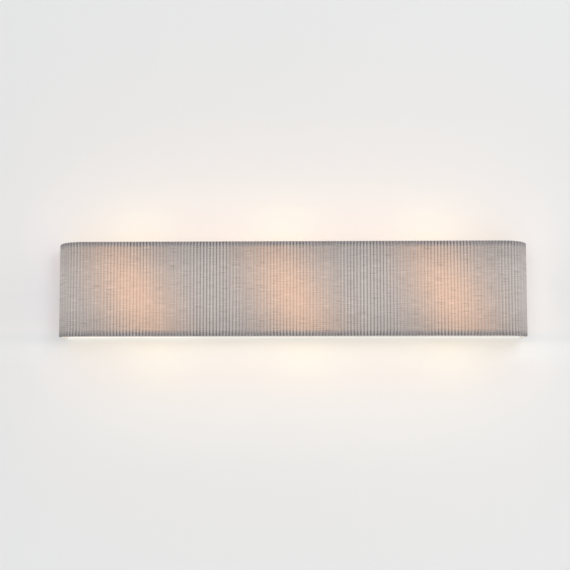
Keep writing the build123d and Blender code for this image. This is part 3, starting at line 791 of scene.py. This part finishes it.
def powderCoat(name, base, light, edgeLight=0.0):
    # baked white paint with a faint orange peel, dusty in places, with painted light of the lamps on the
    # faces before them and on the lower edge
    paint = newMaterial(name)
    x, y, z = paint.split(paint.place())
    glow = lampGlow(paint, x, z, "plate")
    peel = paint.grain(700.0, 2.0, 0.4)
    dust = paint.grain(25.0, 4.0, 0.6)
    tint = paint.mix(paint.ramp(dust, 0.35, 0.75), tone(base), tone(base, 0.95))
    shine = paint.mix(glow, tone((1.0, 0.92, 0.78), light), tone((2.0, 1.75, 1.35), light))
    front = y < coat["front"] * -mm
    # painted light on the plate's lower edge, brighter in patches
    edges = (z < coat["edge"] * -mm) * (1.0 - front) * edgeLight
    edges = edges * (1.0 + bands(x, coat["patches"]))
    shine = paint.vector("ADD", paint.scaled(shine, front), paint.join(edges, edges * 0.92, edges * 0.8))
    return paint.surface(
        Base_Color=tint, Roughness=0.42 + (dust - 0.5) * 0.2, Emission_Color=shine,
        Normal=paint.bump(peel, 0.10, 0.0004),
    )


def linerFilm():
    # milky film, lit through by the lamps
    paint = newMaterial("linerFilm")
    x, y, z = paint.split(paint.place())
    glow = lampGlow(paint, x, z, "liner")
    fine = paint.grain(900.0, 2.0)
    tint = paint.mix(glow, (0.80, 0.78, 0.75, 1), (0.92, 0.84, 0.72, 1))
    light = paint.mix(glow, (0.02, 0.016, 0.01, 1), (0.22, 0.15, 0.08, 1))
    return paint.surface(
        Base_Color=tint, Roughness=0.38, Emission_Color=light, Normal=paint.bump(fine, 0.06, 0.0002),
    )


def opalGlass():
    # opal glass, lit from inside, a little dimmer towards its neck
    paint = newMaterial("opalGlass")
    along = paint.attribute("alongLamp")
    milk = paint.grain(90.0, 2.0)
    fall = paint.ramp(along / 0.09 + 0.35 + (milk - 0.5) * 0.06, 0.25, 0.92)
    light = paint.mix(fall, (0.95, 0.80, 0.58, 1), (0.52, 0.36, 0.21, 1))
    return paint.surface(Base_Color=(0.62, 0.60, 0.57, 1), Roughness=0.16, Emission_Color=light)


def glowingWire():
    paint = newMaterial("glowingFilament")
    grain = paint.grain(3000.0, 2.0)
    light = paint.mix(grain, (1.0, 0.62, 0.22, 1), (1.0, 0.85, 0.55, 1))
    return paint.surface(
        Base_Color=(0.8, 0.6, 0.3, 1), Roughness=0.4, Emission_Color=light, Emission_Strength=2.0,
    )


def wovenSleeve():
    # white glass-fibre sleeve: two sets of strands that cross, with painted shade between them
    paint = newMaterial("wovenSleeve")
    along = paint.attribute("alongLead") / 0.0016
    around = paint.attribute("roundLead") * 8.0
    over = ((along + around) * pi).sine().size()
    under = ((along - around) * pi).sine().size()
    weave = over.atLeast(under)
    tint = paint.mix(paint.ramp(weave, 0.45, 0.95), (0.46, 0.42, 0.34, 1), (0.80, 0.77, 0.69, 1))
    return paint.surface(Base_Color=tint, Roughness=0.75, Normal=paint.bump(weave, 0.5, 0.0003))


finishes = {
    "nickel": metal("nickelPlate", (0.66, 0.62, 0.56), 0.24, (300, 1500, 300)),
    "zinc": metal("zincPlate", (0.58, 0.60, 0.62), 0.38),
    "bracket": metal("bracketSteel", (0.50, 0.51, 0.52), 0.42, (60, 900, 900)),
    "brass": metal("springBrass", (0.74, 0.55, 0.25), 0.3),
    "cap": metal("capAluminium", (0.72, 0.72, 0.73), 0.26, (900, 120, 120)),
    "solder": metal("solder", (0.55, 0.55, 0.56), 0.45),
    "plate": powderCoat("whitePlate", (0.84, 0.84, 0.83), 0.07, 0.31),
    "strip": powderCoat("whiteStrip", (0.82, 0.82, 0.81), 0.06),
    "rubber": moulded("blackRubber", (0.025, 0.025, 0.026), 0.62),
    "connector": moulded("greyConnector", (0.42, 0.43, 0.45), 0.4),
    "connectorTop": moulded("orangeConnector", (0.72, 0.30, 0.06), 0.4),
    "whitePlastic": moulded("whitePlastic", (0.78, 0.78, 0.76), 0.42),
    "holder": moulded("holderPlastic", (0.80, 0.79, 0.76), 0.36, 1400.0, 0.1),
    "ceramic": moulded("glazedCeramic", (0.83, 0.81, 0.77), 0.22, 700.0, 0.3),
    "insulator": moulded("blackInsulator", (0.02, 0.02, 0.025), 0.15, 900.0, 0.4),
    "brown": moulded("brownCore", (0.13, 0.055, 0.025), 0.45),
    "blue": moulded("blueCore", (0.04, 0.12, 0.42), 0.45),
    "film": linerFilm(),
    "opal": opalGlass(),
    "filament": glowingWire(),
    "sleeve": wovenSleeve(),
}


# lamps and lampholders, about each lamp's own axis; sizes in mm from the globe's centre

lamp = {
    "globe": 30.0,
    "neck": 12.3,
    "neckStart": 44.0,
    "neckEnd": 50.5,
    "glass": 1.0,
    "cap": 13.0,
    "capSheet": 0.4,
    "capStart": 48.5,
    "capShoulder": 69.0,
    "capEnd": 72.0,
    "capOpening": 7.0,
    "threadPitch": 3.629,
    "threadDepth": 0.75,
}
holder = {
    "mouth": 48.0,
    "inside": 16.4,
    "outside": 19.5,
    "fluteStart": 55.0,
    "fluteEnd": 80.0,
    "fluteDepth": 0.35,
    "flutes": 36,
    "shoulder": 88.0,
    "back": 98.0,
    "backRadius": 12.0,
    "nippleHole": 5.1,
    "nippleRadius": 5.0,
    "nippleBore": 3.5,
    "nippleStart": 93.0,
    "nippleEnd": 106.0,
    "shell": 13.1,
    "shellSheet": 0.5,
    "shellStart": 50.5,
    "shellEnd": 75.0,
    "core": 16.2,
    "coreBore": 13.7,
    "coreStart": 50.0,
    "coreFloor": 79.0,
    "coreEnd": 86.0,
    "nutStart": 99.5,
    "nutThickness": 3.0,
    "nutFlats": 14.0,
}


def lampFrame(bay):
    # the lamp's own frame: X from the globe's centre to the cap
    joint = joints[f"{bay}_lamp_turn"]
    inward = -Vector(joint["axis"]).normalized()
    across = Vector((0, 1, 0))
    up = inward.cross(across)
    turn = Matrix((inward, across, up)).transposed().to_4x4()
    return Matrix.Translation(joint["pos_m"]) @ turn


lampFrames = {bay: lampFrame(bay) for bay in bays}


def globeLine(inset):
    neck, start = lamp["neck"], lamp["neckStart"]
    rise = (start**2 + neck**2 - lamp["globe"] ** 2) / (2 * (lamp["globe"] - neck))
    centre = Vector((start, neck + rise))
    meet = centre.angle(Vector((1, 0)))
    radius = lamp["globe"] - inset
    ball = [(radius * cos(t), radius * sin(t)) for t in steps(pi, meet, 30)]
    reach, turns = rise + inset, steps(pi + meet, 1.5 * pi, 12)
    bend = [(centre.x + reach * cos(t), centre.y + reach * sin(t)) for t in turns[1:]]
    ball = [(x, max(r, 0) if x > 1 - radius else 0) for x, r in ball]
    return ball + bend + [(lamp["neckEnd"], neck - inset)]


def screwLine(radius, start, end, pitch, depth, fade):
    # rows along a thread and the ripple of its right-hand helix
    rows = steps(start, end, round((end - start) / (pitch / 10)))

    def ripple(along, turn, number):
        share = max(0.0, min(1.0, (along - start) / fade, (end - along) / fade))
        return -share * depth * (0.5 - 0.5 * cos(2 * pi * (along / pitch - turn / (2 * pi))))

    return [(along, radius) for along in rows], ripple


def threadOn(ripple, first, count):
    # the ripple of a thread on some points of an outline only
    points = range(first, first + count)
    return lambda along, turn, number: ripple(along, turn, number) if number in points else 0.0


def addAlong(mesh, frameOfLamp):
    # how far each point lies along the lamp's axis, for its material
    back = frameOfLamp.inverted()
    values = mesh.attributes.new("alongLamp", "FLOAT", "POINT")
    for point, value in zip(mesh.vertices, values.data):
        value.value = (back @ point.co).x
    return mesh


def bulbGlass():
    outside, inside = globeLine(0), globeLine(lamp["glass"])
    return lathe(outside + inside[::-1], 72)


def bulbCap():
    radius, sheet = lamp["cap"], lamp["capSheet"]
    end, hole, threads = lamp["capEnd"], lamp["capOpening"], (lamp["capStart"] + 1.5, lamp["capShoulder"])
    rows, ripple = screwLine(radius, *threads, lamp["threadPitch"], lamp["threadDepth"], 1.2)
    outer = [(lamp["capStart"], radius)] + rows + [(end - 0.6, hole + 1.2), (end, hole + 0.4), (end, hole)]
    inner = [(end - sheet, hole), (lamp["capShoulder"] - sheet, radius - sheet)]
    inner += [(along, radius - sheet) for along, r in rows[::-1][1:]] + [(lamp["capStart"], radius - sheet)]
    return lathe(outer + inner, 60, ripple)


def bulbTip():
    return lathe([
        (66.5, 0), (66.5, 9), (68.5, 9), (68.5, 6.9), (72.2, 6.9), (72.9, 6.5), (73.6, 5.6),
        (74.0, 4.8), (74.9, 4.75), (75.6, 4.2), (75.95, 2.6), (76.0, 0),
    ], 48)


def screwShell():
    radius, sheet = holder["shell"], holder["shellSheet"]
    start, end = holder["shellStart"], holder["shellEnd"]
    rows, ripple = screwLine(radius, start, end, lamp["threadPitch"], lamp["threadDepth"], 1.0)
    outer = [(along, radius + sheet) for along, r in rows]
    return lathe(rows + outer[::-1], 60, ripple)


def holderBody():
    inside, outside = holder["inside"], holder["outside"]
    start, end = holder["fluteStart"], holder["fluteEnd"]
    profile = [(holder["mouth"], inside), (holder["mouth"], outside - 1.0)]
    profile += [(48.3, outside - 0.35), (49.0, outside)]
    profile += [(52.0, outside), (52.4, outside - 0.35), (53.2, outside - 0.35), (53.6, outside)]
    profile += [(along, outside) for along in (start, start + 0.8, (start + end) / 2, end - 0.8, end)]
    profile += [(82.0, outside), (85.5, outside - 0.4), (holder["shoulder"], outside - 1.2)]
    profile += [(91.5, 17.4), (94.0, 15.6), (96.2, 13.6), (97.4, 12.6)]
    profile += [(holder["back"], holder["backRadius"]), (holder["back"], holder["nippleHole"])]
    profile += [(93.0, holder["nippleHole"]), (93.0, 11.0), (87.0, inside)]

    def flutes(along, turn, number):
        if radiusOf[number] < outside - 0.5 or not start < along < end:
            return 0.0
        return -holder["fluteDepth"] * (0.5 - 0.5 * cos(turn * holder["flutes"]))

    radiusOf = [radius for along, radius in profile]
    return lathe(profile, 144, flutes)


def holderCore():
    bore, out, start, end = holder["coreBore"], holder["core"], holder["coreStart"], holder["coreEnd"]
    return lathe([
        (start, bore), (start, out - 0.5), (start + 0.5, out), (end - 0.5, out), (end, out - 0.5), (end, 0),
        (holder["coreFloor"], 0), (holder["coreFloor"], bore),
    ], 64)


def nippleShape():
    start, end = holder["nippleStart"], holder["nippleEnd"]
    rows, ripple = screwLine(holder["nippleRadius"], start, end, 1.0, 0.3, 0.6)
    bore = [(end, holder["nippleBore"]), (start, holder["nippleBore"])]
    return lathe(rows + bore, 40, threadOn(ripple, 0, len(rows)))


def locknut():
    # a hexagon nut about X, its corners turned off at both faces
    half, corner = holder["nutFlats"] / 2, holder["nutFlats"] / 2 / cos(pi / 6)
    start, end, bore = holder["nutStart"], holder["nutStart"] + holder["nutThickness"], holder["nippleHole"]
    profile = [(start, bore), (start, half - 0.1), (start, half), (start + 0.45, corner)]
    profile += [(end - 0.45, corner), (end, half), (end, half - 0.1), (end, bore)]

    def six(along, turn, number):
        flat = half / cos((turn + pi / 6) % (pi / 3) - pi / 6)
        return min(0.0, flat - profile[number][1])

    return lathe(profile, 72, six)


def addLamps():
    makers = (
        ("bulbGlass", bulbGlass, "opal", "lamp", "bulb_glass", "bulb_glass"),
        ("bulbCap", bulbCap, "cap", "lamp", "bulb_cap", "cap_metal"),
        ("bulbTip", bulbTip, "insulator", "lamp_contact", "bulb_tip", "insulator"),
        ("screwShell", screwShell, "brass", "", "screw_shell", "brass"),
        ("holderBody", holderBody, "holder", "", "holder_body", "holder_plastic"),
        ("holderCore", holderCore, "ceramic", "", "holder_core", "ceramic"),
    )
    for bay, placed in lampFrames.items():
        for name, maker, finish, body, node, slot in makers:
            mesh = meshFrom(f"{name}_{bay}", maker(), placed)
            if name == "bulbGlass":
                addAlong(mesh, placed)
            rides = f"{bay}_{body}" if body else "root"
            coats = [finishes[finish]]
            if name == "bulbTip":  # the contact's button is solder, the rest is the insulator
                coats.append(finishes["solder"])
                back = placed.inverted()
                for face in mesh.polygons:
                    face.material_index = int((back @ face.center).x > 73.8 * mm)
            addPiece(f"{name}_{bay}", mesh, coats, rides, [f"{node}_{bay}"])
    for name, maker, node in (
        ("holderNipples", nippleShape, "holder_nipples"),
        ("holderLocknuts", locknut, "holder_locknuts"),
    ):
        mesh = merged(name, [meshFrom(name, maker(), placed) for placed in lampFrames.values()])
        addPiece(name, mesh, [finishes["zinc"]], "root", [node])


addLamps()
print("lamps and lampholders made")


# screws: one head with a cross recess, put on each place by Geometry Nodes

screws = {
    "bracketScrews": {
        "head": 4.0, "height": 2.6, "shank": 2.0, "reach": 5.0, "seat": 9.5, "recess": 2.2, "pitch": 0.7,
    },
    "cradleScrew": {
        "head": 3.0, "height": 2.2, "shank": 1.5, "reach": 4.5, "seat": 9.4, "recess": 1.7, "pitch": 0.5,
    },
}
bracketScrewAlong, bracketScrewUp = 112.0, 8.0
plateFront = 8.0


def crossCutter(reach, width, depth):
    # the tapered cross of the recess, its mouth over the head
    half = width / 2
    corners = [(half, half), (reach, half), (reach, -half), (half, -half)]
    outline = []
    for quarter in range(4):
        turn = Matrix.Rotation(-quarter * pi / 2, 2)
        outline += [turn @ Vector(corner) for corner in corners[:3]]
    levels = ((0.6, 1.0), (-depth * 0.55, 0.62), (-depth, 0.28))
    return lofted([[(along, y * share, z * share) for y, z in outline] for along, share in levels])


def screwMesh(name, sizes):
    # a pan head about X with its seat at 0 and its threaded shank behind the seat
    head, height, shank = sizes["head"], sizes["height"], sizes["shank"]
    tail = sizes["reach"] + sizes["seat"] - plateFront
    rows, ripple = screwLine(shank, -tail, -0.4, sizes["pitch"], 0.22, 0.5)
    dome = [(0, head), (height * 0.45, head), (height * 0.72, head * 0.93), (height * 0.9, head * 0.74)]
    dome += [(height * 0.98, head * 0.45), (height, 0)]
    profile = [(-tail, 0)] + rows + [(0, shank)] + dome
    solid = linked(name, meshFrom(name, lathe(profile, 32, threadOn(ripple, 1, len(rows)))))
    cross = crossCutter(sizes["recess"], sizes["recess"] * 0.42, height * 0.8)
    cutter = linked(name + "Cutter", meshFrom(name, cross))
    cutter.location.x = height * mm
    cut = solid.modifiers.new("recess", "BOOLEAN")
    cut.operation, cut.solver, cut.object = "DIFFERENCE", "EXACT", cutter
    mesh = applied(solid, name)
    discard(solid, cutter)
    return mesh


def instanceTree(name):
    # puts an object on each point of a mesh, turned by the point's number
    graph, given, names = newTree(name, {
        "Object": "Object",
        "Turn per place": "Float",
        "First turn": "Float",
        "Material": "Material",
    })
    shape = graph.add("GeometryNodeObjectInfo", None, {"Object": given.out("Object")}, "Geometry")
    number = graph.add("GeometryNodeInputIndex")
    turn = number * given.out("Turn per place") + given.out("First turn")
    placed = graph.add("GeometryNodeInstanceOnPoints", None, {
        "Points": given, "Instance": shape, "Rotation": graph.join(turn, 0.0, 0.0),
    })
    endTree(graph, placed, given.out("Material"))
    return graph, names


placing = instanceTree("onPlaces")


def putOn(name, shape, places, finish, turn=0.0, first=0.0):
    # copies of one mesh on points given in the frame of the mesh
    spots = bpy.data.meshes.new(name)
    spots.from_pydata(places, [], [])
    holding, source = linked(name, spots), linked(name + "Source", shape)
    graph, names = placing
    useTree(holding, graph, names, {
        "Object": source, "Turn per place": turn, "First turn": first, "Material": finish,
    })
    mesh = applied(holding, name)
    discard(holding, source)
    return mesh


def addScrews():
    front = frontFacing()
    back = front.inverted()
    offsets = [Vector((bracketScrewAlong, 0, up)) * mm for up in (-bracketScrewUp, bracketScrewUp)]
    pairs = [placed @ offset for placed in lampFrames.values() for offset in offsets]
    low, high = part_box("cradle_screw")
    for name, node, spots, turn, first in (
        ("bracketScrews", "bracket_screws", pairs, 1.1, 0.3),
        ("cradleScrew", "cradle_screw", [(low + high) / 2], 0.0, 0.5),
    ):
        places = [back @ Vector((spot.x, -screws[name]["seat"] * mm, spot.z)) for spot in spots]
        mesh = putOn(name, screwMesh(name + "Shape", screws[name]), places, finishes["zinc"], turn, first)
        mesh.transform(front)
        addPiece(name, mesh, [finishes["zinc"]], "root", [node])


addScrews()

thumb = {
    "head": 6.0,
    "headLength": 8.0,
    "collar": 4.0,
    "collarLength": 2.0,
    "shank": 2.0,
    "ribs": 40,
    "seat": 9.45,
    "tip": 2.4,
}


def thumbCore():
    # shank, collar and head about X, its seat at 0; the head's rim is under the knurl
    head, length = thumb["head"] - 0.3, thumb["headLength"]
    start, end = thumb["collarLength"], thumb["collarLength"] + length
    rows, ripple = screwLine(thumb["shank"], thumb["tip"] - thumb["seat"], -0.3, 0.7, 0.25, 0.6)
    profile = [(rows[0][0] - 0.01, 0)] + rows + [(0, thumb["shank"]), (0, thumb["collar"])]
    profile += [(start - 0.3, thumb["collar"]), (start, thumb["collar"] + 0.3), (start, head - 0.5)]
    profile += [(start + 0.5, head), (end - 0.7, head), (end - 0.2, head - 0.35), (end, head - 0.9)]
    profile += [(end, head - 1.6), (end - 0.5, head - 2.2), (end - 0.6, 0)]
    return lathe(profile, 80, threadOn(ripple, 1, len(rows)))


def knurlRib():
    # one rib of the knurl, at the top of the head, rounded at both ends
    width = 2 * pi * thumb["head"] / thumb["ribs"] * 0.42
    base, top = thumb["head"] - 0.45, thumb["head"] - 0.02
    start, end = thumb["collarLength"] + 0.55, thumb["collarLength"] + thumb["headLength"] - 0.75
    outline = [(start, base), (start + 0.5, top), (end - 0.5, top), (end, base)]
    narrow = (1.0, 0.35, 0.35, 1.0)
    return lofted([[(x, side * width * n, r) for (x, r), n in zip(outline, narrow)] for side in (-1, 1)])


def addThumbScrews():
    for side in ("left", "right"):
        name, node = f"{side}ThumbScrew", f"{side}_thumb_screw"
        low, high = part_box(node)
        core, rib = meshFrom("thumbCore", thumbCore()), meshFrom("knurlRib", knurlRib())
        knurl = putOn("knurl", rib, [(0, 0, 0)] * thumb["ribs"], finishes["nickel"], 2 * pi / thumb["ribs"])
        mesh = merged(name, [core, knurl])
        mesh.transform(frontFacing((low.x + high.x) / 2) @ Matrix.Translation((thumb["seat"] * mm, 0, 0)))
        addPiece(name, mesh, [finishes["nickel"]], node, [node])


addThumbScrews()
print("screws made")


# leads: each follows its route, a woven sleeve and then two cores into the connectors

leads = {
    "radius": 2.0,
    "coreRadius": 0.9,
    "start": 86.05,  # along the lamp's axis
    "turn": 120.0,
    "line": 70.0,  # height of the clipped run
    "sleeveEnd": 13.0,  # above the connectors
    "rise": 38.0,
    "share": 0.45,  # of the shorter run that a bend takes
    "ports": {"middle": 0, "left": 1, "right": 2},
    "portPitch": 5.8,
    "onPlate": -10.3,
}


def softCorners(corners):
    # the route in mm with an arc in place of each corner, in metres
    corners = [Vector(corner) for corner in corners]
    route = [corners[0]]
    for before, corner, after in zip(corners, corners[1:], corners[2:]):
        back, on = corner - before, after - corner
        reach = leads["share"] * min(back.length, on.length)
        turn = back.angle(on)
        back, on = back.normalized(), on.normalized()
        inward = (on - back * back.dot(on)).normalized()
        radius = reach / ((1 - cos(turn)) / sin(turn))
        centre = corner - back * reach + inward * radius
        route += [centre - inward * radius * cos(t) + back * radius * sin(t) for t in steps(0, turn, 8)]
    return [point * mm for point in route + [corners[-1]]]


def tubeTree():
    graph, given, names = newTree("tubeAlong", {"Radius": "Float", "Sides": "Int", "Material": "Material"})
    ring = graph.add("GeometryNodeCurvePrimitiveCircle", {"mode": "RADIUS"}, {
        "Resolution": given.out("Sides"), "Radius": given.out("Radius"),
    })
    line = graph.store(given, "alongLead", graph.add("GeometryNodeSplineParameter", output="Length"))
    ring = graph.store(ring, "roundLead", graph.add("GeometryNodeSplineParameter"))
    tube = graph.add("GeometryNodeCurveToMesh", None, {
        "Curve": line, "Profile Curve": ring, "Fill Caps": True,
    })
    smooth = graph.add("GeometryNodeSetShadeSmooth", None, {"Geometry": tube})
    endTree(graph, smooth, given.out("Material"))
    return graph, names


def leadRoute(bay, port):
    # the sleeve's corners in mm, from inside the lampholder to over the connectors
    low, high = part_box("live_connector")
    top, between = high.z / mm, low.y / mm - 0.3
    first, out = (lampFrames[bay] @ Vector((leads[name] * mm, 0, 0)) / mm for name in ("start", "turn"))
    flat, line, drop = leads["onPlate"], leads["line"], top + leads["rise"]
    down = (port, flat, drop)
    runs = {
        "middle": [(out.x + 10, flat, out.z + 5), (port - 20, flat, out.z + 9), (port, flat, drop + 2)],
        "left": [(out.x + 12, flat, out.z + 7), (out.x + 40, flat, line), (port - 1, flat, line), down],
        "right": [(out.x + 8, flat, out.z + 6), (out.x - 6, flat, line), (port + 1, flat, line), down],
    }
    end = top + leads["sleeveEnd"]
    route = [first, out, *runs[bay], (port, between, drop - 15), (port, between, end)]
    return route, top, between, end


def addLeads():
    graph, names = tubeTree()
    low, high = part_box("live_connector")
    middle = (low.x + high.x) / 2 / mm
    for bay in bays:
        port = middle + (leads["ports"][bay] - 1.5) * leads["portPitch"]
        route, top, between, end = leadRoute(bay, port)
        chains = [(route, leads["radius"], "sleeve", 24)]
        for node, finish in (("live_connector", "brown"), ("neutral_connector", "blue")):
            low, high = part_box(node)
            level = (low.y + high.y) / 2 / mm
            beside = between + (1.0 if level > between else -1.0)
            points = [(beside, end + 3), (beside, end - 4), (level, top + 3), (level, top - 6)]
            chains.append(([(port, y, z) for y, z in points], leads["coreRadius"], finish, 16))
        tubes = []
        for number, (points, radius, finish, sides) in enumerate(chains):
            curve = newCurve(f"{bay}LeadRoute", softCorners(points))
            useTree(curve, graph, names, {
                "Radius": radius * mm, "Sides": sides, "Material": finishes[finish],
            })
            tubes.append(applied(curve, "tube"))
            for face in tubes[-1].polygons:
                face.material_index = number
            discard(curve)
        coats = [finishes[name] for name in ("sleeve", "brown", "blue")]
        addPiece(f"{bay}Lead", merged(f"{bay}Lead", tubes), coats, "root", [f"lead_{bay}"])


addLeads()
print("leads made")


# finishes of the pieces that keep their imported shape

kept = {
    "plate": ["back_plate"],
    "film": ["liner"],
    "strip": ["top_ring", "bottom_ring", "left_rail", "right_rail"],
    "zinc": ["screw_inserts", "locating_pins", "earth_terminal"],
    "rubber": ["grommet"],
    "connectorTop": ["live_connector"],
    "connector": ["neutral_connector"],
    "whitePlastic": ["connector_cradle", "lead_clips"],
    "bracket": [f"bracket_{bay}" for bay in bays],
    "brass": [f"centre_contact_{bay}" for bay in bays],
    "filament": [f"filament_{bay}" for bay in bays],
}
for finish, nodes in kept.items():
    for node in nodes:
        painted(frame["nodes"][node].data, finishes[finish])
print("finishes put on")
